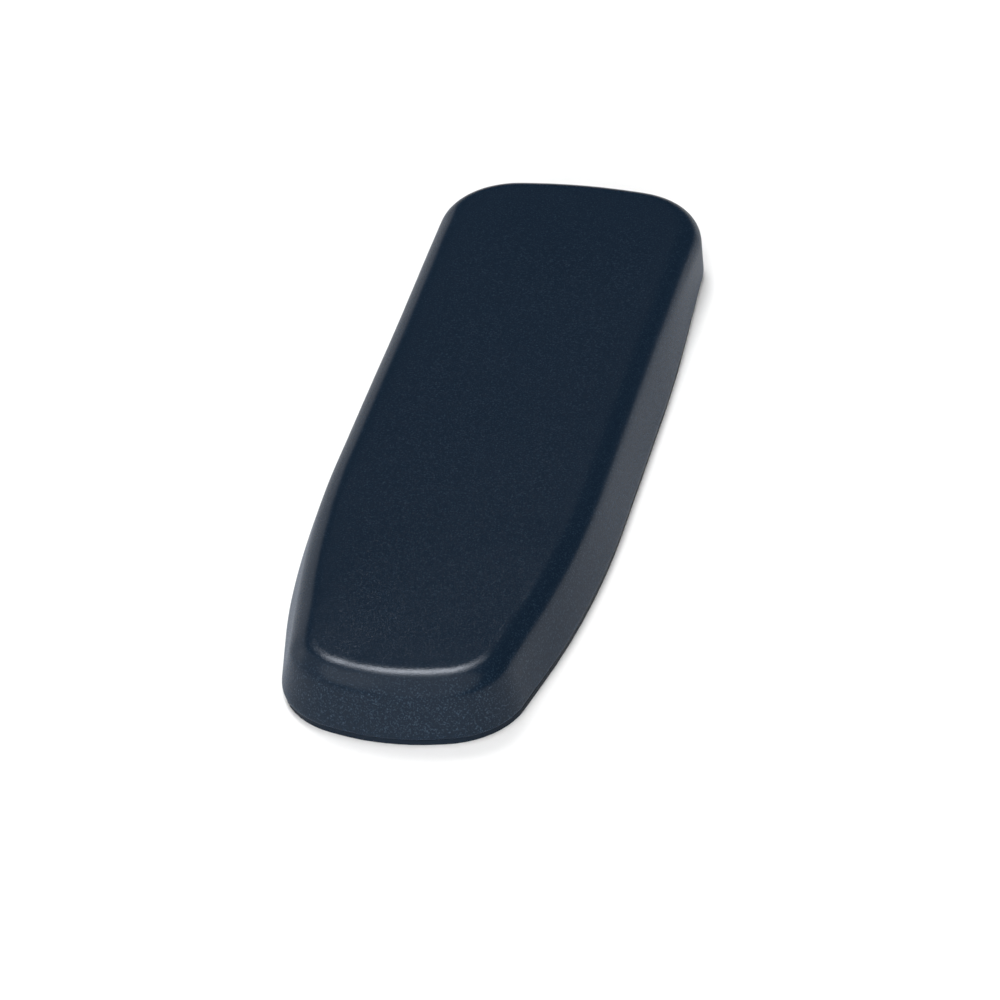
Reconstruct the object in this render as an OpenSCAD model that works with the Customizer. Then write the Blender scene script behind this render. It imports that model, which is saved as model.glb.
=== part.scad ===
// Upholstered armrest pad for a chair: a soft faux-leather cover over moulded foam,
// pulled round a drilled plywood board and closed underneath by a moulded panel.
// Millimetres. +Z up, z = 0 is the underside of the panel. +Y runs to the wide rear end,
// -Y to the narrow front end. The origin is the middle of the underside.

/* [Overall size] */
// Length from the front face to the rear face
pad_length = 270; // [240:5:300]
// Width of the underside across the straight part of the sides
pad_width = 90; // [84:2:104]
// Height from the underside to the flat top
pad_height = 20; // [19:1:30]

/* [Plan outline, at the top of the sides] */
// Half-width of the straight front edge before its corners are rounded
front_half_width = 29.5; // [26:0.5:32]
// Where the straight sides start to taper, measured back from the middle
shoulder_y = -59; // [-80:1:-30]
// How far the rear edge bows out over its half-width
rear_bow = 6; // [2:0.5:8]
// How far the front edge bows out over its half-width
front_bow = 7.2; // [3:0.2:9]
// Radius along the middle of the rear edge
rear_bow_r = 135; // [90:5:135]
// Radius along the middle of the front edge
front_bow_r = 56; // [45:1:56]
// Radius of the two rear corners
rear_corner_r = 23; // [19:0.5:23]
// Radius of the two front corners
front_corner_r = 21.5; // [20:0.5:21.5]
// Radius where a straight side turns into the taper
shoulder_r = 380; // [150:10:380]

/* [Side walls] */
// How far the long sides lean out between top and underside
side_flare = 4; // [2:0.25:5]
// How far the front face leans out
front_flare = 3; // [1:0.25:4]
// How far the rear face leans out
rear_flare = 0.5; // [0:0.25:2]
// Radius of the soft edge round the top
top_edge_r = 6.5; // [4:0.5:8]
// Radius where the cover folds under
fold_r = 1.5; // [1.3:0.1:2]

/* [Cover] */
// Thickness of the faux leather
cover_t = 1.2; // [1:0.1:1.5]
// Width of the hem turned under, from the underside's edge
hem_w = 14; // [12:0.5:15]

/* [Base board] */
// Thickness of the plywood board
board_t = 7; // [6:0.5:9]
// Width of the foam skirt between the board's edge and the cover
skirt_w = 3.5; // [3:0.25:4.5]

/* [Mounting nuts] */
// Distance between the mounting holes across the pad
hole_dx = 38; // [30:1:38]
// Distance between the mounting holes along the pad
hole_dy = 100; // [80:5:110]
// Radius of the M6 threaded bore
nut_bore_r = 2.5; // [2.45:0.05:2.6]
// Radius of the nut's barrel
nut_barrel_r = 3.9; // [3.6:0.1:4.2]
// Radius of the nut's flange
nut_flange_r = 9; // [8:0.25:9.5]
// Thickness of the nut's flange
nut_flange_t = 1.2; // [1:0.1:1.4]
// Length of the barrel below the flange
nut_barrel_h = 5; // [4:0.25:5.5]

/* [Bottom panel] */
// Thickness of the panel
panel_t = 1.6; // [1.5:0.1:2]
// How far the panel stays inside the cover's edge
panel_inset = 1; // [0.6:0.1:2]
// Radius of the panel's holes over the mounting nuts
panel_hole_r = 5; // [4.5:0.25:6]

/* [Panel screws] */
// Distance from the centre line to the two front screws
front_screw_x = 18; // [12:0.5:18]
// Distance from the centre line to the two middle screws
middle_screw_x = 26; // [20:0.5:27]
// Distance from the centre line to the two rear screws
rear_screw_x = 22; // [16:0.5:23]
// Distance from the middle to the front and rear screws, along the pad
end_screw_y = 95; // [80:1:95]
// Radius of the screw's thread
screw_r = 1.5; // [1.4:0.05:1.6]
// Radius of the countersunk head
screw_head_r = 3.1; // [2.8:0.1:3.4]
// Length of the screw
screw_l = 8; // [7:0.5:8]

/* [Staples] */
// Number of staples round the hem
staple_count = 24; // [16:2:30]
// Distance from the underside's edge to the line of staples
staple_line = 10; // [9:0.25:10.5]
// Outside width of a staple
staple_w = 10; // [8:0.5:11]
// Width of the flat wire
wire_w = 1.2; // [0.9:0.05:1.3]
// Thickness of the flat wire
wire_t = 0.6; // [0.5:0.05:0.65]
// Length of a staple's legs
staple_leg = 5; // [4:0.5:6]

/* [Hidden] */
$fn = 64;
eps = 0.01;

// Steps along an arc, and points along a straight stretch of the outline
bow_steps = 8;
corner_steps = 10;
shoulder_steps = 6;
straight_points = 7;
edge_steps = 6;

// Levels, from the underside up
hem_z = panel_t;
board_z = panel_t + cover_t;
board_top_z = board_z + board_t;
fold_z = hem_z + fold_r;
wall_top_z = pad_height - top_edge_r;

// The lean of the sides fades out towards each end over these stretches
flare_fade_y = 40;
front_fade_l = 48;

// The outline lies where the walls, drawn straight, pass the level wall_top_z. The cover's
// rounded fold stays a little inside the straight wall, so the walls are set out by that much.
wall_h = wall_top_z - fold_z;
function fold_loss(lean_out) = fold_r * (1 / cos(atan(lean_out / wall_h)) - 1);
top_rear_y = pad_length / 2 - rear_flare + fold_loss(rear_flare);
top_front_y = -pad_length / 2 + front_flare - fold_loss(front_flare);
top_half_width = pad_width / 2 - side_flare + fold_loss(side_flare);

// A rounded apex falls short of its corner point by this much
function apex_drop(r, bow, half_w) = r * (1 / cos(atan(bow / half_w)) - 1);
rear_apex_y = top_rear_y + apex_drop(rear_bow_r, rear_bow, top_half_width);
front_apex_y = top_front_y - apex_drop(front_bow_r, front_bow, front_half_width);

// Corner points of the outline, counter-clockwise from the front, each with its
// radius, its arc's steps and the points on the straight stretch that follows it
right_side = [
    [[front_half_width, front_apex_y + front_bow], front_corner_r, corner_steps, straight_points],
    [[top_half_width, shoulder_y], shoulder_r, shoulder_steps, straight_points],
    [[top_half_width, rear_apex_y - rear_bow], rear_corner_r, corner_steps, 0],
];
left_side = [
    [[-top_half_width, rear_apex_y - rear_bow], rear_corner_r, corner_steps, straight_points],
    [[-top_half_width, shoulder_y], shoulder_r, shoulder_steps, straight_points],
    [[-front_half_width, front_apex_y + front_bow], front_corner_r, corner_steps, 0],
];
corners = concat(
    [[[0, front_apex_y], front_bow_r, bow_steps, 0]], right_side,
    [[[0, rear_apex_y], rear_bow_r, bow_steps, 0]], left_side
);

function unit(v) = v / norm(v);
// Outward normal of the edge that leaves corner i
function edge_normal(i) =
    let (d = unit(corners[(i + 1) % len(corners)][0] - corners[i][0])) [d.y, -d.x];
function edge_length(i) = norm(corners[(i + 1) % len(corners)][0] - corners[i][0]);

// The arc that rounds corner i: [centre, radius, first angle, last angle].
// Its radius is held to what half of each neighbouring edge leaves room for.
function corner_arc(i) =
    let (
        last = (i + len(corners) - 1) % len(corners),
        n1 = edge_normal(last),
        n2 = edge_normal(i),
        a1 = atan2(n1.y, n1.x),
        turn = acos(n1 * n2),
        room = 0.499 * min(edge_length(last), edge_length(i)) / tan(turn / 2),
        r = min(corners[i][1], room)
    )
    [corners[i][0] - r * (n1 + n2) / (1 + n1 * n2), r, a1, a1 + turn];

// The outline as [point, outward normal] pairs
function arc_samples(arc, steps) = [
    for (s = [0:steps])
        let (a = arc[2] + (arc[3] - arc[2]) * s / steps, n = [cos(a), sin(a)])
        [arc[0] + arc[1] * n, n]
];
function straight_samples(from, to, count) = [
    for (s = [1:1:count])
        [from[0] + (to[0] - from[0]) * s / (count + 1), from[1]]
];
arcs = [for (i = [0:len(corners) - 1]) arc_samples(corner_arc(i), corners[i][2])];
outline = [
    for (i = [0:len(corners) - 1])
        let (here = arcs[i], next = arcs[(i + 1) % len(arcs)])
        each concat(here, straight_samples(here[len(here) - 1], next[0], corners[i][3]))
];

function smooth(t) = let (u = max(0, min(1, t))) u * u * (3 - 2 * u);
// How far the foot of the wall stands out from the outline at a given y
function flare(y) =
    let (
        rear = smooth((y - flare_fade_y) / (top_rear_y - flare_fade_y)),
        front = smooth((top_front_y + front_fade_l - y) / front_fade_l)
    )
    side_flare * (1 - rear) * (1 - front) + rear_flare * rear + front_flare * front;

// Angle of the wall from the vertical at a given y
function lean(y) = atan(flare(y) / wall_h);

// The outline moved out by a share of the flare and in by a fixed inset
function ring(share, inset) = [for (s = outline) s[0] + (share * flare(s[0].y) - inset) * s[1]];
function at_z(path, z) = [for (p = path) [p.x, p.y, z]];
// The wall at a height, a skin's thickness inside its outer face
function wall_ring(z, skin) = [
    for (s = outline)
        let (p = s[0] + (flare(s[0].y) * (wall_top_z - z) / wall_h - skin / cos(lean(s[0].y))) * s[1])
        [p.x, p.y, z]
];
// One ring of a rounded edge: an arc of radius r round a centre that lies reach / cos(lean)
// inside the wall's line, at the angle that is a share t of the way from the wall to the end angle
function rounded_ring(line_share, reach, r, centre_z, end_angle, t) = [
    for (s = outline)
        let (
            b = lean(s[0].y),
            a = b + (end_angle - b) * t,
            p = s[0] + (line_share * flare(s[0].y) - reach / cos(b) + r * cos(a)) * s[1]
        )
        [p.x, p.y, centre_z + r * sin(a)]
];
// The soft edge round the top, from the flat top down to the wall
function top_edge(skin) = [
    for (s = [edge_steps:-1:0])
        rounded_ring(0, top_edge_r, top_edge_r - skin, wall_top_z, 90, s / edge_steps)
];
// The fold under the cover's lower edge, from the wall to the hem
function fold_edge() = [
    for (s = [0:edge_steps]) rounded_ring(1, fold_r, fold_r, fold_z, -90, s / edge_steps)
];
function reversed(list) = [for (i = [len(list) - 1:-1:0]) list[i]];

// Point and heading at a distance along a closed path
function along(path, distance, i = 0) =
    let (step = path[(i + 1) % len(path)] - path[i], l = norm(step))
    distance <= l ? [path[i] + step * distance / l, atan2(step.y, step.x)]
                  : along(path, distance - l, i + 1);
function path_length(path, i = 0) =
    i == len(path) ? 0 : norm(path[(i + 1) % len(path)] - path[i]) + path_length(path, i + 1);

// A closed skin through a list of rings that have the same number of points
module loft(rings) {
    n = len(rings[0]);
    last = len(rings) - 1;
    skin = [
        for (i = [0:last - 1], j = [0:n - 1])
            let (a = i * n + j, b = i * n + (j + 1) % n)
            each [[a, b, b + n], [a, b + n, a + n]]
    ];
    polyhedron(
        points = [for (path = rings) each path],
        faces = concat([[for (j = [n - 1:-1:0]) j]], skin, [[for (j = [0:n - 1]) last * n + j]]),
        convexity = 6
    );
}

module slab(path, z, thickness) {
    translate([0, 0, z])
        linear_extrude(height = thickness)
            polygon(path);
}

hole_places = [for (x = [-hole_dx, hole_dx] / 2, y = [-hole_dy, hole_dy] / 2) [x, y]];
screw_rows = [[front_screw_x, -end_screw_y], [middle_screw_x, 0], [rear_screw_x, end_screw_y]];
screw_places = [for (row = screw_rows, side = [-1, 1]) [side * row.x, row.y]];
module at_places(places) {
    for (p = places)
        translate([p.x, p.y, 0])
            children();
}

// Faux-leather skin: flat top, soft edge, leaning sides and a hem turned under the board
module cover() {
    color([0.13, 0.17, 0.24])
        difference() {
            loft(concat(
                top_edge(0),
                fold_edge(),
                [at_z(ring(1, hem_w), hem_z), at_z(ring(1, hem_w), board_z)],
                [wall_ring(board_z, cover_t)],
                reversed(top_edge(cover_t))
            ));
            all_staples();
        }
}

// Moulded foam: a layer over the board and a skirt down round its edge
module foam_cushion() {
    board_edge = ring(0, cover_t + skirt_w);
    color([0.93, 0.88, 0.72])
        loft(concat(
            top_edge(cover_t),
            [wall_ring(board_z, cover_t)],
            [at_z(board_edge, board_z), at_z(board_edge, board_top_z)]
        ));
}

// Prongs of one mounting nut, pointing down from its flange
prong_count = 4;
prong_w = 2.6;
prong_t = 0.9;
prong_l = 4;
module prongs() {
    for (i = [0:prong_count - 1])
        rotate(45 + i * 360 / prong_count)
            translate([nut_flange_r - prong_t, 0, board_top_z - nut_flange_t])
                rotate([90, 0, 90])
                    linear_extrude(height = prong_t)
                        polygon([[-prong_w / 2, eps], [prong_w / 2, eps], [0, -prong_l]]);
}
module one_t_nut() {
    flange_z = board_top_z - nut_flange_t;
    difference() {
        union() {
            translate([0, 0, flange_z]) cylinder(h = nut_flange_t, r = nut_flange_r);
            translate([0, 0, flange_z - nut_barrel_h]) cylinder(h = nut_barrel_h + eps, r = nut_barrel_r);
            prongs();
        }
        translate([0, 0, flange_z - nut_barrel_h - 1])
            cylinder(h = nut_barrel_h + nut_flange_t + 2, r = nut_bore_r);
    }
}
module t_nuts() {
    color([0.78, 0.76, 0.68])
        at_places(hole_places) one_t_nut();
}

// One staple, with its crown flat under the hem and its legs up through it into the board
module one_staple() {
    translate([-staple_w / 2, -wire_w / 2, hem_z - wire_t])
        cube([staple_w, wire_w, wire_t]);
    for (x = [-staple_w / 2, staple_w / 2 - wire_t])
        translate([x, -wire_w / 2, hem_z - eps])
            cube([wire_t, wire_w, staple_leg + eps]);
}
module all_staples() {
    path = ring(1, staple_line);
    pitch = path_length(path) / staple_count;
    for (i = [0:staple_count - 1]) {
        place = along(path, (i + 0.5) * pitch);
        translate([place[0].x, place[0].y, 0])
            rotate(place[1])
                one_staple();
    }
}
module staples() {
    color([0.75, 0.75, 0.78]) all_staples();
}

// Plywood board with drilled, counterbored nut holes and pilot holes for the screws
fit_gap = 0.1;
pilot_depth = screw_l + 0.5;
module base_board() {
    color([0.80, 0.66, 0.46])
        difference() {
            slab(ring(0, cover_t + skirt_w), board_z, board_t);
            at_places(hole_places) {
                translate([0, 0, board_z - 1])
                    cylinder(h = board_t + 2, r = nut_barrel_r + fit_gap);
                translate([0, 0, board_top_z - nut_flange_t])
                    cylinder(h = nut_flange_t + 1, r = nut_flange_r + fit_gap);
                prongs();
            }
            at_places(screw_places)
                cylinder(h = pilot_depth, r = screw_r);
            all_staples();
        }
}

// Moulded panel: a thin rim under the hem, a raised middle inside it, a groove for the staples
groove_w = 4;
hem_gap = 0.4;
screw_head_h = 1.7;
head_recess = 0.3;
module bottom_panel() {
    color([0.09, 0.10, 0.12])
        difference() {
            union() {
                slab(ring(1, panel_inset), 0, panel_t);
                slab(ring(1, hem_w + hem_gap), 0, board_z);
            }
            difference() {
                slab(ring(1, staple_line - groove_w / 2), panel_t - wire_t - fit_gap, panel_t);
                slab(ring(1, staple_line + groove_w / 2), 0, panel_t + 1);
            }
            at_places(hole_places)
                translate([0, 0, -1]) cylinder(h = board_z + 2, r = panel_hole_r);
            at_places(screw_places) {
                translate([0, 0, -1]) cylinder(h = board_z + 2, r = screw_r + fit_gap);
                translate([0, 0, -1]) cylinder(h = 1 + head_recess, r = screw_head_r + fit_gap);
                translate([0, 0, head_recess])
                    cylinder(h = screw_head_h, r1 = screw_head_r + fit_gap, r2 = screw_r + fit_gap);
            }
        }
}

// Countersunk self-tapping screw with a cross recess; the thread is a row of ridges
thread_pitch = 1.2;
thread_depth = 0.35;
recess_w = 0.8;
recess_l = 3.4;
recess_depth = 1;
module one_screw() {
    shank_z = head_recess + screw_head_h;
    root_r = screw_r - thread_depth;
    turns = floor((screw_l - shank_z - thread_pitch) / thread_pitch);
    tip_z = shank_z + turns * thread_pitch;
    difference() {
        union() {
            translate([0, 0, head_recess])
                cylinder(h = screw_head_h, r1 = screw_head_r, r2 = root_r);
            rotate_extrude()
                polygon(concat(
                    [[0, shank_z - eps], [root_r, shank_z - eps]],
                    [for (i = [0:turns - 1]) each [
                        [root_r, shank_z + i * thread_pitch],
                        [screw_r, shank_z + (i + 0.5) * thread_pitch]
                    ]],
                    [[root_r, tip_z], [0, screw_l]]
                ));
        }
        for (turn = [0, 90])
            rotate(turn)
                translate([-recess_l / 2, -recess_w / 2, head_recess - 1])
                    cube([recess_l, recess_w, 1 + recess_depth]);
    }
}
module panel_screws() {
    color([0.55, 0.56, 0.58])
        at_places(screw_places) one_screw();
}

cover();
foam_cushion();
base_board();
t_nuts();
staples();
bottom_panel();
panel_screws();
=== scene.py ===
"""Looks for the chair armrest pad: a navy faux-leather cover over foam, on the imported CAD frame."""

import math

import bpy
import numpy as np
from mathutils import Matrix, Vector


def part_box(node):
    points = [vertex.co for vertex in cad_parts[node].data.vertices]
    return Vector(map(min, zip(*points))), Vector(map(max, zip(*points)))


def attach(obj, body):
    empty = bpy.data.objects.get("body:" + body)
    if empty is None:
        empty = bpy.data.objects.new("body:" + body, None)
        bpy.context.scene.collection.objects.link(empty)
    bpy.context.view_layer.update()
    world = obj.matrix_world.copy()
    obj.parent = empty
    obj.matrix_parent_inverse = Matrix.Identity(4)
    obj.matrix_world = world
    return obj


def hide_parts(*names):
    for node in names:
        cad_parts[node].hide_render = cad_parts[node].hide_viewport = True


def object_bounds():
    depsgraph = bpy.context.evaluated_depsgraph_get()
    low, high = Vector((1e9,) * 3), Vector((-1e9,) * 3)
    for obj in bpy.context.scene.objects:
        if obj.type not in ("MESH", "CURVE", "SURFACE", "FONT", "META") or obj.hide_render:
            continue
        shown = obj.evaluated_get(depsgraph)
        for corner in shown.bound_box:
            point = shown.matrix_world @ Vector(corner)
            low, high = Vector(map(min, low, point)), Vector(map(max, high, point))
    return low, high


MM = 0.001

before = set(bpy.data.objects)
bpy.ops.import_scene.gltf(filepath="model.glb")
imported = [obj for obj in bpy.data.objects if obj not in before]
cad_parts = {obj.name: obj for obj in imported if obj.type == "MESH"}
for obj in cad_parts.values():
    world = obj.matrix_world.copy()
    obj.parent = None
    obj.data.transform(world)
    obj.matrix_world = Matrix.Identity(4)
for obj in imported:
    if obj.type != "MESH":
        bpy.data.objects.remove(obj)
cad_low, cad_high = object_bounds()

# ---------------------------------------------------------------- sizes, in metres
COVER_LOW, COVER_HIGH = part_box("cover")
BOARD_LOW, BOARD_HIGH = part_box("base_board")

FOOT_TUCK = 0.4 * MM  # the stretched foot sits this far inside the CAD solid at each side
LENGTH = COVER_HIGH.y - COVER_LOW.y
WIDTH = COVER_HIGH.x - COVER_LOW.x - 2 * FOOT_TUCK
HEM_Z = COVER_LOW.z
TOP_Z = COVER_HIGH.z
BOARD_Z = BOARD_LOW.z
BOARD_TOP_Z = BOARD_HIGH.z

# Plan of the cover as in the CAD model: +Y is the wide rear end, -Y the narrow front
FRONT_HALF_WIDTH = 30 * MM
SHOULDER_Y = -59.5 * MM  # forward of this the sides run in to the front
REAR_BOW = 6.2 * MM  # how far each end stands out at its middle
FRONT_BOW = 7.5 * MM
REAR_BOW_R = 145 * MM
FRONT_BOW_R = 55 * MM
REAR_CORNER_R = 24.2 * MM
FRONT_CORNER_R = 20.7 * MM
SHOULDER_R = 420 * MM

# How far the foot of the wall stands out from its top, and where that changes
SIDE_FLARE = 3.3 * MM
FRONT_FLARE = 1.9 * MM
REAR_FLARE = 0.1 * MM
FLARE_FADE_Y = 31 * MM
FRONT_FADE_L = 55 * MM

# Section of the cover
TOP_EDGE_R = 7.4 * MM
FOLD_R = 1.5 * MM
COVER_T = 1.2 * MM
HEM_W = 14 * MM
WALL_TOP_Z = TOP_Z - TOP_EDGE_R
FOLD_Z = HEM_Z + FOLD_R
WALL_H = WALL_TOP_Z - FOLD_Z

# Section of the foam
FOAM_GAP = 0.1 * MM  # between the foam and the skin's inner face
SKIRT_W = 3.5 * MM  # the foam's skirt round the board

# Fineness of the lofted meshes
HALF_POINTS = 150  # along half of the outline, both apexes included
ARC_POINTS = 61  # along each rounded corner, before even spacing; odd, so that one is half-way
ARC_SHARE = 0.499  # of the shorter edge beside a corner: the most that its arc may use
PATCH_CORNER = 16  # points from an apex to the corner of a ring's grid
EDGE_RINGS = 9
WALL_RINGS = 8  # its first and last belong to the round edge and the fold
FOLD_RINGS = 6
HEM_SHARES = (0.25, 0.5, 0.75, 1)
FOAM_WALL_SHARES = (0.5, 1)

# How the skin swells and drifts
SWELL = 0.40 * MM  # the largest move, at the crown
WALL_SHARE = 0.35  # of the swell, left on the walls
PIN_BAND = 4 * MM  # the foot's hold on the cloth fades out over this height
CLOTH_FRAMES = 20
CLOTH_PRESSURE = 4
CLOTH_QUALITY = 5
WAVE_COUNT = 24
SLOWEST_WAVE, FASTEST_WAVE = 0.6, 1.5  # frequencies, as shares of the named wavelength's
LONG_DRIFT, LONG_WAVE = 0.03 * MM, 55 * MM
SHORT_DRIFT, SHORT_WAVE = 0.004 * MM, 14 * MM
DRIFT_BAND = 4 * MM  # above the fold, where the drift sets in


# ---------------------------------------------------------------- object helpers
def placed(name, data):
    """A new object in the scene that shows this mesh, light or camera."""
    thing = bpy.data.objects.new(name, data)
    bpy.context.scene.collection.objects.link(thing)
    return thing


def dress(piece, material):
    """Give a piece one material in place of any it has."""
    piece.data.materials.clear()
    piece.data.materials.append(material)


def coordinates(mesh):
    """A mesh's vertices as rows of x, y, z."""
    co = np.empty(len(mesh.vertices) * 3)
    mesh.vertices.foreach_get("co", co)
    return co.reshape(-1, 3)


def set_coordinates(mesh, co):
    """Move a mesh's vertices."""
    mesh.vertices.foreach_set("co", co.ravel())
    mesh.update()


def vertex_normals(mesh):
    """A mesh's vertex normals as rows of x, y, z."""
    n = np.empty(len(mesh.vertices) * 3)
    mesh.vertex_normals.foreach_get("vector", n)
    return n.reshape(-1, 3)


def waves(points, wavelength, seed):
    """Smooth noise of about unit height: a sum of plane waves with seeded directions and phases."""
    rng = np.random.default_rng(seed)
    d = rng.normal(size=(WAVE_COUNT, 3))
    pace = 2 * math.pi / wavelength * rng.uniform(SLOWEST_WAVE, FASTEST_WAVE, WAVE_COUNT)
    d *= (pace / np.linalg.norm(d, axis=1))[:, None]
    phase = rng.uniform(0, 2 * math.pi, WAVE_COUNT)
    return np.sin(points @ d.T + phase).sum(1) / math.sqrt(WAVE_COUNT / 2)


# ---------------------------------------------------------------- plan outline
def fold_loss(lean_out):
    """What the rounded fold loses against the straight wall."""
    return FOLD_R * (1 / math.cos(math.atan(lean_out / WALL_H)) - 1)


def apex_drop(r, bow, half_width):
    """How far a rounded apex falls short of its corner point."""
    return r * (1 / math.cos(math.atan(bow / half_width)) - 1)


REAR_Y = LENGTH / 2 - REAR_FLARE + fold_loss(REAR_FLARE)
FRONT_Y = -LENGTH / 2 + FRONT_FLARE - fold_loss(FRONT_FLARE)
HALF_WIDTH = WIDTH / 2 - SIDE_FLARE + fold_loss(SIDE_FLARE)


def outline_corners():
    """Corner points and radii of the whole outline, counter-clockwise from the front apex."""
    front = FRONT_Y - apex_drop(FRONT_BOW_R, FRONT_BOW, FRONT_HALF_WIDTH)
    rear = REAR_Y + apex_drop(REAR_BOW_R, REAR_BOW, HALF_WIDTH)
    right = [
        ((FRONT_HALF_WIDTH, front + FRONT_BOW), FRONT_CORNER_R),
        ((HALF_WIDTH, SHOULDER_Y), SHOULDER_R),
        ((HALF_WIDTH, rear - REAR_BOW), REAR_CORNER_R),
    ]
    left = [((-x, y), r) for (x, y), r in reversed(right)]
    return [((0, front), FRONT_BOW_R), *right, ((0, rear), REAR_BOW_R), *left]


def half_outline():
    """The right half, front apex to rear apex: evenly spaced points and outward normals."""
    corners = outline_corners()
    at = np.array([point for point, _ in corners])
    edge = np.roll(at, -1, 0) - at
    length = np.linalg.norm(edge, axis=1)
    normal = np.c_[edge[:, 1], -edge[:, 0]] / length[:, None]
    points, normals = [], []
    for i, (_, radius) in enumerate(corners):
        before, after = normal[i - 1], normal[i]
        turn = math.acos(float(before @ after))
        room = ARC_SHARE * min(length[i - 1], length[i]) / math.tan(turn / 2)
        r = min(radius, room)
        centre = at[i] - r * (before + after) / (1 + before @ after)
        a = math.atan2(before[1], before[0]) + turn * np.linspace(0, 1, ARC_POINTS)
        n = np.c_[np.cos(a), np.sin(a)]
        points.append(centre + r * n)
        normals.append(n)
    points, normals = np.vstack(points), np.vstack(normals)
    points = np.vstack([points, points[:1]])
    normals = np.vstack([normals, normals[:1]])
    run = np.r_[0, np.cumsum(np.linalg.norm(np.diff(points, axis=0), axis=1))]
    first = run[ARC_POINTS // 2]  # the front apex is half-way along the first arc
    s = np.linspace(first, first + run[-1] / 2, HALF_POINTS)
    p = np.c_[np.interp(s, run, points[:, 0]), np.interp(s, run, points[:, 1])]
    n = np.c_[np.interp(s, run, normals[:, 0]), np.interp(s, run, normals[:, 1])]
    n /= np.linalg.norm(n, axis=1)[:, None]
    p[0, 0] = p[-1, 0] = 0
    n[0], n[-1] = (0, -1), (0, 1)
    return p, n


def smooth(t):
    """A soft step from 0 to 1 as t goes from 0 to 1."""
    u = np.clip(t, 0, 1)
    return u * u * (3 - 2 * u)


def flare(y):
    """How far the foot of the wall stands out from the outline."""
    rear = smooth((y - FLARE_FADE_Y) / (REAR_Y - FLARE_FADE_Y))
    front = smooth((FRONT_Y + FRONT_FADE_L - y) / FRONT_FADE_L)
    return SIDE_FLARE * (1 - rear) * (1 - front) + REAR_FLARE * rear + FRONT_FLARE * front


class Outline:
    """The closed outline: the right half, then the left half mirrored back to the front apex."""

    def __init__(self):
        p, n = half_outline()
        mirror = np.array([-1, 1])
        self.p = np.vstack([p, p[-2:0:-1] * mirror])
        self.n = np.vstack([n, n[-2:0:-1] * mirror])
        self.flare = flare(self.p[:, 1])
        self.lean = np.arctan(self.flare / WALL_H)

    def ring(self, out, z):
        """Points moved out along the normals, at a height. Both may differ from point to point."""
        q = self.p + self.n * np.asarray(out)[..., None] * np.ones((len(self.p), 1))
        return np.c_[q, np.zeros(len(q)) + z]

    def wall_ring(self, share, foot_z, skin):
        """A ring `skin` inside the leaning wall, a share of the way from its top down to foot_z."""
        z = WALL_TOP_Z + (foot_z - WALL_TOP_Z) * share
        out = self.flare * (WALL_TOP_Z - z) / WALL_H - skin / np.cos(self.lean)
        return self.ring(out, z)

    def arc_rings(self, foot, reach, r, centre_z, end_angle, shares):
        """Rings of a rounded edge, tangent to the leaning wall where the share is 0. `foot` is 0 at
        the wall's top and 1 at its foot, and `reach` is how far the arc's centre is inside it."""
        centre = foot * self.flare - reach / np.cos(self.lean)
        rings = []
        for share in shares:
            a = self.lean + (end_angle - self.lean) * share
            rings.append(self.ring(centre + r * np.cos(a), centre_z + r * np.sin(a)))
        return rings

    def top_edge_rings(self, skin):
        """The rounded top edge, `skin` inside the cover's face, from the top down to the wall."""
        shares = np.linspace(1, 0, EDGE_RINGS)
        return self.arc_rings(0, TOP_EDGE_R, TOP_EDGE_R - skin, WALL_TOP_Z, math.pi / 2, shares)

    def fold_rings(self):
        """The fold at the foot, from the wall to the underside."""
        shares = np.linspace(0, 1, FOLD_RINGS)
        return self.arc_rings(1, FOLD_R, FOLD_R, FOLD_Z, -math.pi / 2, shares)


def patch_rows(border):
    """Vertex numbers and inner points of a four-sided grid that fills a ring. The grid's corners
    are PATCH_CORNER steps from the two apexes."""
    half, n = HALF_POINTS, len(border)
    front = [j % n for j in range(-PATCH_CORNER, PATCH_CORNER + 1)]
    rear = [(half - 1 + PATCH_CORNER - j) % n for j in range(2 * PATCH_CORNER + 1)]
    right = list(range(PATCH_CORNER, half - PATCH_CORNER))
    left = [(n - j) % n for j in right]
    u = np.linspace(0, 1, len(front))[:, None]
    inner = len(front) - 2
    rows, points, number = [front], [], n
    for k in range(1, len(right) - 1):
        v = k / (len(right) - 1)
        across = (1 - v) * border[front] + v * border[rear]
        ends = (1 - u) * border[left[k]] + u * border[right[k]]
        twist = (1 - v) * ((1 - u) * border[front[0]] + u * border[front[-1]])
        twist += v * ((1 - u) * border[rear[0]] + u * border[rear[-1]])
        points.append((across + ends - twist)[1:-1])
        rows.append([left[k], *range(number, number + inner), right[k]])
        number += inner
    rows.append(rear)
    return rows, points


def loft_mesh(name, rings, close_last):
    """A grid across the top ring, then a skin down through the rings. The last ring may get a grid
    of its own."""
    n = len(rings[0])
    rows, points = patch_rows(rings[0])
    verts = [rings[0], *points]
    total = sum(len(v) for v in verts)
    faces = []

    def fill(rows, upward):
        for a, b in zip(rows, rows[1:]):
            for k in range(len(a) - 1):
                quad = (a[k], a[k + 1], b[k + 1], b[k])
                faces.append(quad if upward else quad[::-1])

    fill(rows, upward=True)
    above = list(range(n))
    for ring in rings[1:]:
        below = list(range(total, total + n))
        verts.append(ring)
        total += n
        for j in range(n):
            k = (j + 1) % n
            faces.append((above[j], below[j], below[k], above[k]))
        above = below
    if close_last:
        rows, points = patch_rows(rings[-1])
        number = above + list(range(total, total + sum(len(p) for p in points)))
        verts += points
        fill([[number[j] for j in row] for row in rows], upward=False)
    mesh = bpy.data.meshes.new(name)
    mesh.from_pydata(np.vstack(verts).tolist(), [], faces)
    mesh.validate()
    mesh.shade_smooth()
    return placed(name, mesh)


# ---------------------------------------------------------------- node helpers
NOISE_LOW, NOISE_HIGH = 0.3, 0.7  # nearly all of a noise lies between these


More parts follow.
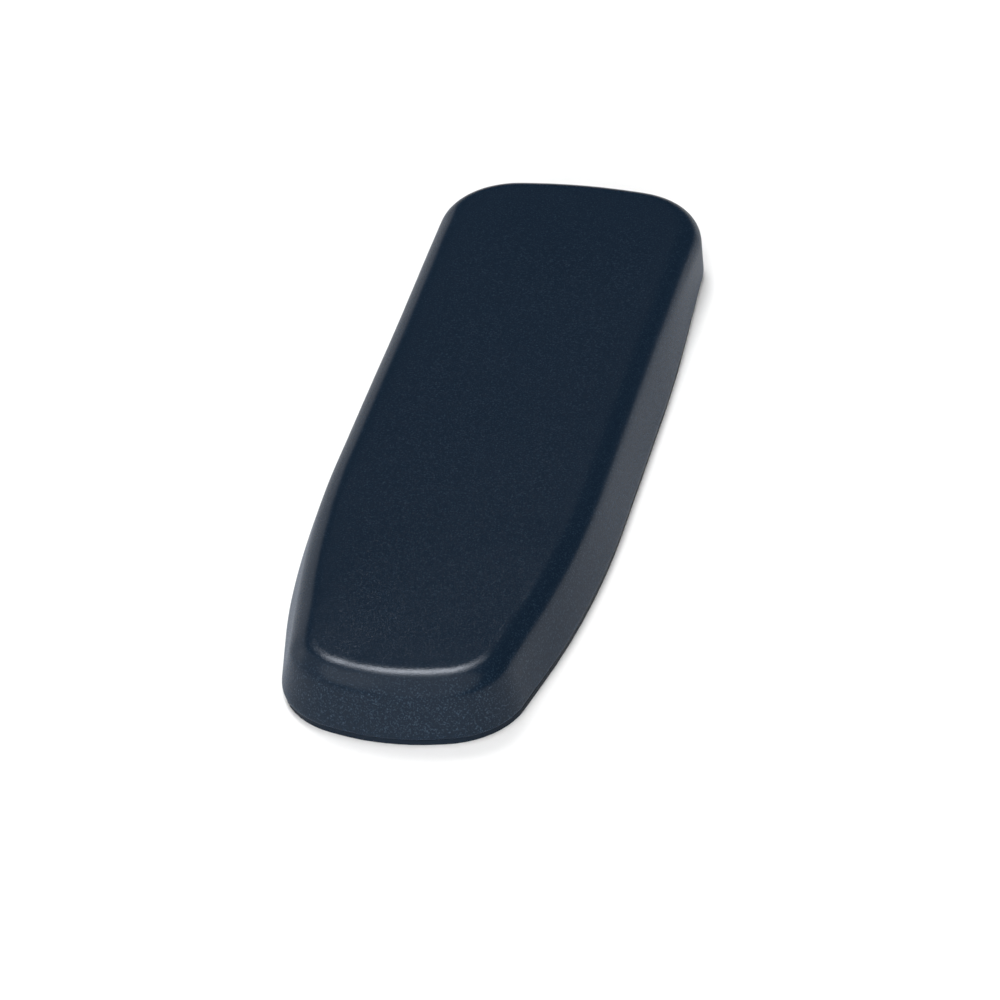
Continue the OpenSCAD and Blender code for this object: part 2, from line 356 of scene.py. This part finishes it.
class Nodes:
    """Short calls for building one material's node tree. Scales are in features per metre."""

    def __init__(self, name):
        self.material = bpy.data.materials.new(name)
        self.material.use_nodes = True
        self.tree = self.material.node_tree
        self.shader = self.tree.nodes["Principled BSDF"]
        self.coords = self.tree.nodes.new("ShaderNodeTexCoord").outputs["Object"]

    def add(self, kind, inputs=(), **settings):
        """A node with its settings, and its inputs linked or filled in."""
        node = self.tree.nodes.new(kind)
        for key, value in settings.items():
            setattr(node, key, value)
        for key, value in dict(inputs).items():
            self.put(node.inputs[key], value)
        return node

    def put(self, socket, value):
        """Link an output to a socket, or set the socket's own value."""
        if isinstance(value, bpy.types.NodeSocket):
            self.tree.links.new(value, socket)
        else:
            socket.default_value = value

    def set(self, **values):
        """Set or link the shader's sockets, with underscores for the spaces in their names."""
        for key, value in values.items():
            self.put(self.shader.inputs[key.replace("_", " ")], value)

    def height(self):
        """The height of a point of the object."""
        return self.add("ShaderNodeSeparateXYZ", {"Vector": self.coords}).outputs["Z"]

    def noise(self, scale, detail, roughness=0.5, distortion=0.0, at=None):
        """Cloudy noise between 0 and 1."""
        return self.add(
            "ShaderNodeTexNoise",
            {
                "Vector": at or self.coords,
                "Scale": scale,
                "Detail": detail,
                "Roughness": roughness,
                "Distortion": distortion,
            },
        ).outputs["Fac"]

    def voronoi(self, scale, feature="F1", at=None):
        """Rounded cells: the distance to a cell's middle or to its edge."""
        inputs = {"Vector": at or self.coords, "Scale": scale}
        return self.add("ShaderNodeTexVoronoi", inputs, feature=feature).outputs["Distance"]

    def math(self, operation, a, b=0.0):
        """One sum on two values, or on one."""
        node = self.add("ShaderNodeMath", operation=operation)
        self.put(node.inputs[0], a)
        self.put(node.inputs[1], b)
        return node.outputs[0]

    def remap(self, value, low, high, to_low=0.0, to_high=1.0, smooth_step=False):
        """A value moved from one range to another, clamped to its ends."""
        return self.add(
            "ShaderNodeMapRange",
            {
                "Value": value,
                "From Min": low,
                "From Max": high,
                "To Min": to_low,
                "To Max": to_high,
            },
            interpolation_type="SMOOTHSTEP" if smooth_step else "LINEAR",
        ).outputs["Result"]

    def spread(self, noise, to_low=0.0, to_high=1.0):
        """A noise stretched over the given range."""
        return self.remap(noise, NOISE_LOW, NOISE_HIGH, to_low, to_high)

    def mix(self, factor, a, b):
        """From colour a to colour b. Each is a tuple or another node's output."""
        node = self.add("ShaderNodeMix", data_type="RGBA")
        self.put(node.inputs["Factor"], factor)
        self.put(node.inputs["A"], (*a, 1.0) if isinstance(a, tuple) else a)
        self.put(node.inputs["B"], (*b, 1.0) if isinstance(b, tuple) else b)
        return node.outputs["Result"]

    def scaled(self, x, y, z):
        """The object's coordinates, stretched along each axis."""
        node = self.add("ShaderNodeMapping", {"Vector": self.coords, "Scale": (x, y, z)})
        return node.outputs["Vector"]

    def warped(self, scale, amount):
        """The object's coordinates pushed about by a little noise."""
        inputs = {"Vector": self.coords, "Scale": scale, "Detail": 2.0}
        push = self.add("ShaderNodeTexNoise", inputs)
        centred = self.add("ShaderNodeVectorMath", operation="SUBTRACT")
        self.put(centred.inputs[0], push.outputs["Color"])
        self.put(centred.inputs[1], (0.5, 0.5, 0.5))
        node = self.add("ShaderNodeVectorMath", operation="MULTIPLY_ADD")
        self.put(node.inputs[0], centred.outputs[0])
        self.put(node.inputs[1], (amount, amount, amount))
        self.put(node.inputs[2], self.coords)
        return node.outputs[0]

    def bump(self, height, distance, strength, under=None):
        """A bumped normal, which may lie on top of another one."""
        inputs = {"Height": height, "Distance": distance, "Strength": strength}
        node = self.add("ShaderNodeBump", inputs)
        if under is not None:
            self.put(node.inputs["Normal"], under)
        return node.outputs["Normal"]


# ---------------------------------------------------------------- materials
# Colours are linear RGB
NAVY_DARK, NAVY_LIGHT = (0.0042, 0.0108, 0.0212), (0.0048, 0.0117, 0.0226)
# Painted glints: the pale flecks on the grain peaks
NAVY_PAINTED_GLINT = (0.0285, 0.0490, 0.0760)
# Painted shade: the darkening in the grain valleys
NAVY_PAINTED_SHADE = (0.0030, 0.0070, 0.0135)
BLUE_SPECULAR, BLUE_SHEEN = (0.6, 0.78, 1.0, 1.0), (0.25, 0.52, 1.0, 1.0)
PLASTIC_DARK, PLASTIC_LIGHT = (0.0036, 0.0085, 0.0165), (0.0048, 0.0105, 0.0195)
FOAM_CREAM, FOAM_YELLOWED = (0.80, 0.70, 0.43), (0.68, 0.55, 0.30)
BIRCH_LIGHT, BIRCH_DARK, BIRCH_PLY = (0.58, 0.40, 0.22), (0.44, 0.27, 0.13), (0.25, 0.14, 0.065)
ZINC_DARK, ZINC_LIGHT = (0.52, 0.48, 0.38), (0.66, 0.63, 0.54)
STAPLE_DARK, STAPLE_LIGHT = (0.50, 0.51, 0.53), (0.64, 0.65, 0.67)
SCREW_DARK, SCREW_LIGHT = (0.10, 0.10, 0.105), (0.17, 0.17, 0.175)
PAPER_DARK, PAPER_LIGHT = (0.90, 0.90, 0.90), (0.91, 0.91, 0.91)

# Depths of the leather's relief, the strength of the painted shade in its grain valleys, and where
# the painted glints on its grain peaks fade towards the top face
GRAIN_WARP = 0.8 * MM
GRAIN_DEPTH = 0.024 * MM
HILL_DEPTH = 0.04 * MM
FINE_SHARE = 0.7
# Strength of the painted shade in the grain valleys
VALLEY_SHADE_SHARE = 0.45
# Heights over which the painted glints fade from the walls to the top face
PAINTED_GLINT_LOW_Z, PAINTED_GLINT_HIGH_Z = 14 * MM, 19.4 * MM
PAINTED_GLINT_ON_TOP = 0.45

# The same for the pieces that hardly show
PLASTIC_DEPTH = 0.06 * MM
FOAM_DEPTH = 0.3 * MM
PORE_SHARE = 0.8
PLY_T = 2.8 * MM  # one light and one dark ply
WOOD_DEPTH = 0.12 * MM
STEEL_DEPTH = 0.03 * MM
ZINC_ROUGHNESS, STAPLE_ROUGHNESS, SCREW_ROUGHNESS = (0.25, 0.42), (0.22, 0.38), (0.30, 0.48)


def faux_leather():
    """Navy polyurethane leather: a fine pebble grain with painted shade in the creases between, pale
    flecks that are painted glints on the grain peaks and fade towards the top face, and a satin coat."""
    m = Nodes("faux_leather_look")
    base = m.mix(m.spread(m.noise(scale=26, detail=3)), NAVY_DARK, NAVY_LIGHT)

    grain_at = m.warped(scale=1200, amount=GRAIN_WARP)
    cells = m.voronoi(scale=1700, feature="DISTANCE_TO_EDGE", at=grain_at)
    pebble = m.remap(cells, low=0.0, high=0.35, smooth_step=True)
    fine = m.noise(scale=2600, detail=3, roughness=0.6)
    relief = m.math("ADD", pebble, m.math("MULTIPLY", fine, FINE_SHARE))
    hills = m.bump(m.noise(scale=420, detail=2), HILL_DEPTH, strength=0.5)
    normal = m.bump(relief, GRAIN_DEPTH, strength=0.5, under=hills)

    # Pale spots on the grain peaks are painted glints, strongest on the walls and fading towards the
    # top face
    glint_spots = m.remap(m.noise(scale=1900, detail=2, roughness=0.6), low=0.53, high=0.68)
    height = m.height()
    shown = m.remap(height, PAINTED_GLINT_LOW_Z, PAINTED_GLINT_HIGH_Z, 1.0, PAINTED_GLINT_ON_TOP, smooth_step=True)
    with_painted_glints = m.mix(m.math("MULTIPLY", glint_spots, shown), base, NAVY_PAINTED_GLINT)
    # Painted shade: the grain valleys are darkened, most where the pebble relief is lowest
    valley_shade = m.remap(pebble, 0.0, 1.0, VALLEY_SHADE_SHARE, 0.0)
    m.set(
        Base_Color=m.mix(valley_shade, with_painted_glints, NAVY_PAINTED_SHADE),
        Roughness=m.spread(m.noise(scale=180, detail=3), to_low=0.28, to_high=0.36),
        Normal=normal,
        Coat_Normal=normal,
        IOR=1.5,
        Specular_IOR_Level=0.0,
        Specular_Tint=BLUE_SPECULAR,
        Coat_Weight=0.33,
        Coat_IOR=1.5,
        Coat_Roughness=0.18,
        Sheen_Weight=0.05,
        Sheen_Roughness=0.45,
        Sheen_Tint=BLUE_SHEEN,
    )
    return m.material


def moulded_plastic():
    """Near-black moulded plastic with a fine spark-eroded texture and faint flow marks."""
    m = Nodes("moulded_plastic_look")
    texture = m.noise(scale=2400, detail=3, roughness=0.7)
    flow = m.noise(scale=22, detail=2, distortion=0.6)
    m.set(
        Base_Color=m.mix(m.spread(flow), PLASTIC_DARK, PLASTIC_LIGHT),
        Roughness=m.spread(flow, to_low=0.50, to_high=0.62),
        Normal=m.bump(texture, PLASTIC_DEPTH, strength=0.6),
        Specular_IOR_Level=0.17,
    )
    return m.material


def moulded_foam():
    """Cream polyurethane foam: open cells of two sizes and a slightly yellowed skin."""
    m = Nodes("moulded_foam_look")
    cells = m.voronoi(scale=950)
    pores = m.voronoi(scale=330)
    pitted = m.math("ADD", cells, m.math("MULTIPLY", pores, PORE_SHARE))
    m.set(
        Base_Color=m.mix(m.spread(m.noise(scale=30, detail=3)), FOAM_CREAM, FOAM_YELLOWED),
        Roughness=m.remap(cells, low=0.0, high=0.7, to_low=0.80, to_high=0.95),
        Normal=m.bump(pitted, FOAM_DEPTH, strength=0.7),
    )
    return m.material


def plywood():
    """Birch plywood: thin plies that show as stripes at the edge, and long grain on the faces."""
    m = Nodes("plywood_look")
    along_grain, along_fibre = m.scaled(14, 1, 14), m.scaled(3, 0.15, 3)
    grain = m.noise(scale=60, detail=6, roughness=0.6, distortion=0.4, at=along_grain)
    fibre = m.noise(scale=900, detail=3, at=along_fibre)
    face = m.mix(m.remap(grain, low=0.35, high=0.65), BIRCH_LIGHT, BIRCH_DARK)
    plies = m.math("SINE", m.math("MULTIPLY", m.height(), 2 * math.pi / PLY_T))
    dark_ply = m.remap(plies, low=-0.2, high=0.5, to_low=0.0, to_high=0.55, smooth_step=True)
    m.set(
        Base_Color=m.mix(dark_ply, face, BIRCH_PLY),
        Roughness=m.spread(fibre, to_low=0.60, to_high=0.78),
        Normal=m.bump(m.math("ADD", grain, fibre), WOOD_DEPTH, strength=0.5),
    )
    return m.material


def steel(name, dark, light, smoothest, roughest):
    """Plated steel with a faint cloudy plating and fine drawing marks."""
    m = Nodes(name)
    cloud = m.noise(scale=350, detail=3)
    marks = m.noise(scale=2500, detail=3, at=m.scaled(1, 1, 0.2))
    m.set(
        Base_Color=m.mix(m.spread(cloud), dark, light),
        Metallic=1.0,
        Roughness=m.spread(marks, smoothest, roughest),
        Normal=m.bump(marks, STEEL_DEPTH, strength=0.4),
    )
    return m.material


def studio_floor():
    """Pale matt paper with the faintest mottle."""
    m = Nodes("studio_floor_look")
    m.set(
        Base_Color=m.mix(m.spread(m.noise(scale=600, detail=2)), PAPER_DARK, PAPER_LIGHT),
        Roughness=1.0,
        Specular_IOR_Level=0.0,
    )
    return m.material


# ---------------------------------------------------------------- the soft pieces
def swell(piece, most):
    """Let the foam's pressure push the skin out in a cloth simulation, held at its folded foot,
    and keep the shape of that move at a size of `most`."""
    start = coordinates(piece.data)
    held = piece.vertex_groups.new(name="held")
    for i, z in enumerate(start[:, 2]):
        held.add([i], float(1 - smooth((z - FOLD_Z) / PIN_BAND)), "REPLACE")
    scene = bpy.context.scene
    scene.frame_start, scene.frame_end = 1, CLOTH_FRAMES
    cloth = piece.modifiers.new("cloth", "CLOTH")
    cloth.settings.vertex_group_mass = held.name
    cloth.settings.use_pressure = True
    cloth.settings.uniform_pressure_force = CLOTH_PRESSURE
    cloth.settings.effector_weights.gravity = 0
    cloth.settings.quality = CLOTH_QUALITY
    cloth.collision_settings.use_collision = False
    cloth.point_cache.frame_start, cloth.point_cache.frame_end = 1, CLOTH_FRAMES
    for step in range(1, CLOTH_FRAMES + 1):
        scene.frame_set(step)
    graph = bpy.context.evaluated_depsgraph_get()
    move = coordinates(piece.evaluated_get(graph).data) - start
    piece.modifiers.remove(cloth)
    piece.vertex_groups.remove(held)
    scene.frame_set(1)
    move *= most / np.linalg.norm(move, axis=1).max()
    height = smooth((start[:, 2] - WALL_TOP_Z) / TOP_EDGE_R)
    move *= (WALL_SHARE + (1 - WALL_SHARE) * height)[:, None]
    set_coordinates(piece.data, start + move)


def subdivide(piece):
    """One level of subdivision, applied to the mesh."""
    finer = piece.modifiers.new("finer", "SUBSURF")
    finer.levels = finer.render_levels = 1
    graph = bpy.context.evaluated_depsgraph_get()
    mesh = bpy.data.meshes.new_from_object(piece.evaluated_get(graph))
    piece.modifiers.remove(finer)
    piece.data = mesh
    mesh.shade_smooth()


def drift(piece):
    """Uneven the skin by a few hundredths of a millimetre, but not its hem."""
    co = coordinates(piece.data)
    above_hem = smooth((co[:, 2] - FOLD_Z) / DRIFT_BAND)
    move = LONG_DRIFT * waves(co, LONG_WAVE, seed=3) + SHORT_DRIFT * waves(co, SHORT_WAVE, seed=4)
    co += vertex_normals(piece.data) * (move * above_hem)[:, None]
    set_coordinates(piece.data, co)


def make_cover():
    """The faux-leather skin: a barely crowned top, a round edge and leaning walls, folded under to
    the hem."""
    outline = Outline()
    rings = outline.top_edge_rings(skin=0)
    wall_shares = np.linspace(0, 1, WALL_RINGS)[1:-1]
    rings += [outline.wall_ring(share, FOLD_Z, skin=0) for share in wall_shares]
    rings += outline.fold_rings()
    rings += [outline.ring(outline.flare - HEM_W * share, HEM_Z) for share in HEM_SHARES]
    piece = loft_mesh("cover_skin", rings, close_last=False)
    swell(piece, SWELL)
    subdivide(piece)
    drift(piece)
    thickness = piece.modifiers.new("skin", "SOLIDIFY")
    thickness.thickness = COVER_T
    thickness.offset = -1
    dress(piece, faux_leather())
    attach(piece, "root")
    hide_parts("cover")


def make_foam():
    """The moulded foam inside the skin, with a pocket underneath for the board."""
    outline = Outline()
    inside = COVER_T + FOAM_GAP
    rings = outline.top_edge_rings(inside)
    rings += [outline.wall_ring(share, BOARD_Z, inside) for share in FOAM_WALL_SHARES]
    rings += [outline.ring(-(COVER_T + SKIRT_W), z) for z in (BOARD_Z, BOARD_TOP_Z)]
    piece = loft_mesh("foam_body", rings, close_last=True)
    dress(piece, moulded_foam())
    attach(piece, "root")
    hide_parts("foam_cushion")


# ---------------------------------------------------------------- the hard pieces
PANEL_EDGE_R = 0.35 * MM
WELD_DISTANCE = 0.005 * MM
SHARP_ANGLE = 35  # degrees; edges sharper than this are rounded


def soften(piece, radius):
    """A small moulded radius on a CAD piece's edges."""
    weld = piece.modifiers.new("weld", "WELD")
    weld.merge_threshold = WELD_DISTANCE
    bevel = piece.modifiers.new("edge", "BEVEL")
    bevel.width = radius
    bevel.segments = 2
    bevel.limit_method = "ANGLE"
    bevel.angle_limit = math.radians(SHARP_ANGLE)
    bevel.harden_normals = True


def finish_hard_pieces():
    """Materials for the carried-over CAD pieces, and a radius on the one whose rim shows."""
    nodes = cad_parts
    dress(nodes["bottom_panel"], moulded_plastic())
    dress(nodes["base_board"], plywood())
    zinc = steel("zinc_steel_look", ZINC_DARK, ZINC_LIGHT, *ZINC_ROUGHNESS)
    wire = steel("staple_steel_look", STAPLE_DARK, STAPLE_LIGHT, *STAPLE_ROUGHNESS)
    black = steel("screw_steel_look", SCREW_DARK, SCREW_LIGHT, *SCREW_ROUGHNESS)
    dress(nodes["t_nuts"], zinc)
    dress(nodes["staples"], wire)
    dress(nodes["panel_screws"], black)
    soften(nodes["bottom_panel"], PANEL_EDGE_R)


# ---------------------------------------------------------------- studio
FLOOR_REACH = 6.0
FLOOR_GAP = 0.05 * MM
LAMP_DISTANCE = 2.0
WHITE, COOL_WHITE = (1.0, 1.0, 1.0), (0.88, 0.92, 1.0)
WORLD_GLOW = 0.01  # what the world adds to the object
WORLD_BACKDROP = 1.0  # how bright the world itself looks

CAMERA_AZIMUTH = 14.3
CAMERA_ELEVATION = 34.77
CAMERA_ROLL = -2.84
CAMERA_DISTANCE = 1.47
CAMERA_LENS = 181.0
CAMERA_AIM = Vector((0.0053, -0.0151, 0.0))
CLIP_START, CLIP_END = 0.05, 50


def make_floor():
    """A wide flat sheet just under the pad."""
    corners = [(-1, -1), (1, -1), (1, 1), (-1, 1)]
    mesh = bpy.data.meshes.new("floor")
    verts = [(x * FLOOR_REACH, y * FLOOR_REACH, 0) for x, y in corners]
    mesh.from_pydata(verts, [], [(0, 1, 2, 3)])
    floor = placed("floor", mesh)
    floor.location.z = cad_low.z - FLOOR_GAP
    dress(floor, studio_floor())


def direction(azimuth, elevation):
    """From the object towards a point: azimuth 0 is the front, 90 the right, in degrees."""
    a, e = math.radians(azimuth), math.radians(elevation)
    return Vector((math.sin(a) * math.cos(e), -math.cos(a) * math.cos(e), math.sin(e)))


def soft_light(name, azimuth, elevation, spread, strength, glossy=False, tint=WHITE):
    """A distant round softbox that either lights surfaces or only shows in their gloss. Spread is
    its width in degrees as the object sees it."""
    light = bpy.data.lights.new(name, "SUN")
    light.angle = math.radians(spread)
    light.energy = math.pi * strength
    light.color = tint
    lamp = placed(name, light)
    towards = direction(azimuth, elevation)
    lamp.location = towards * LAMP_DISTANCE
    lamp.rotation_mode = "QUATERNION"
    lamp.rotation_quaternion = towards.to_track_quat("Z", "Y")
    lamp.visible_diffuse = not glossy
    lamp.visible_glossy = glossy


def make_lights():
    """Four softboxes that light the surfaces, and five that only show in the coat's gloss."""
    soft_light("key", azimuth=212, elevation=56, spread=22, strength=0.46)
    soft_light("overhead", azimuth=0, elevation=82, spread=50, strength=0.47)
    soft_light("top_front", azimuth=0, elevation=55, spread=40, strength=0.28)
    soft_light("low_front", azimuth=6, elevation=10, spread=44, strength=1.15)
    for name, azimuth, elevation, spread, strength, tint in (
        ("gleam", 200, 61, 20, 0.60, COOL_WHITE),  # the highlight along the front edge
        ("gleam_rim", 199, 64, 34, 0.56, COOL_WHITE),  # its softer rim
        ("front_box", 4, 50, 98, 0.80, WHITE),  # the walls that face the camera
        ("left_box", 288, 28, 80, 0.34, WHITE),  # the front-left corner
        ("left_glow", 238, 6, 56, 0.25, WHITE),  # the left rim
    ):
        soft_light(name, azimuth, elevation, spread, strength, glossy=True, tint=tint)


def make_world():
    """A white backdrop that hardly lights the object."""
    world = bpy.data.worlds.new("studio")
    world.use_nodes = True
    tree = world.node_tree
    seen = tree.nodes.new("ShaderNodeLightPath").outputs["Is Camera Ray"]
    backdrop = tree.nodes["Background"]
    backdrop.inputs["Color"].default_value = (1, 1, 1, 1)
    glow = tree.nodes.new("ShaderNodeMapRange")
    tree.links.new(seen, glow.inputs["Value"])
    glow.inputs["To Min"].default_value = WORLD_GLOW
    glow.inputs["To Max"].default_value = WORLD_BACKDROP
    tree.links.new(glow.outputs["Result"], backdrop.inputs["Strength"])
    bpy.context.scene.world = world


def make_camera():
    """The photograph's view: a long lens from the front right, a little rolled."""
    camera = placed("camera", bpy.data.cameras.new("camera"))
    back = direction(CAMERA_AZIMUTH, CAMERA_ELEVATION)
    right = Vector((0, 0, 1)).cross(back).normalized()
    up = back.cross(right)
    turn = Matrix.Rotation(math.radians(CAMERA_ROLL), 3, back)
    axes = Matrix((turn @ right, turn @ up, back)).transposed()
    camera.matrix_world = Matrix.Translation(CAMERA_AIM + back * CAMERA_DISTANCE) @ axes.to_4x4()
    camera.data.lens = CAMERA_LENS
    camera.data.clip_start, camera.data.clip_end = CLIP_START, CLIP_END
    bpy.context.scene.camera = camera


make_camera()
make_cover()
make_foam()
finish_hard_pieces()
make_floor()
make_lights()
make_world()
bpy.context.scene.view_settings.view_transform = "Standard"
